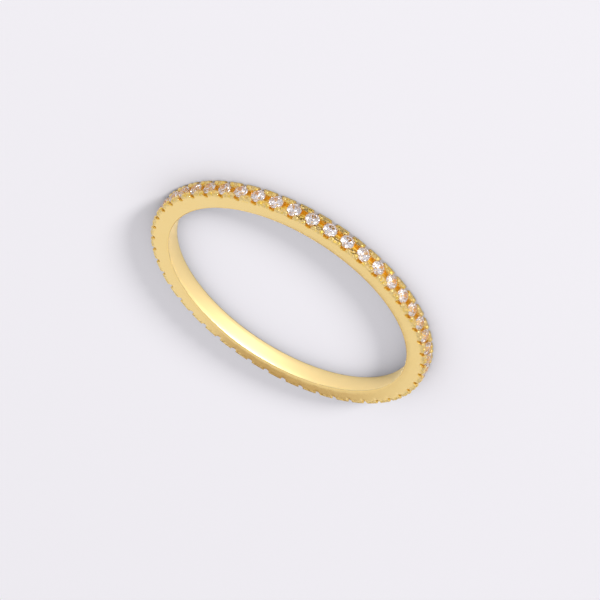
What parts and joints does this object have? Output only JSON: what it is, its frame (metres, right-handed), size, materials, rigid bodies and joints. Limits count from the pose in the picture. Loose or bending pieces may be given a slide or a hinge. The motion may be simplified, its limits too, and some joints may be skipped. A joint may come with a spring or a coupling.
{
  "type": "stackable eternity ring",
  "caption": "Slim flat-sided finger ring whose whole rim is set with small round stones, each held by prongs over scalloped sides.",
  "frame": {"origin": "on the ring's axis, in the plane of the surface that the ring lies on", "axes": "+Z along the ring's axis, up as it lies on its side; +X through the middle of one stone"},
  "size_m": [0.02, 0.02, 0.0012],
  "materials": {
    "gold": "polished yellow gold plate, satin on the flat sides",
    "stone": "clear, brilliant cut"
  },
  "bodies": {
    "root": {"band": "gold"}
  },
  "joints": []
}
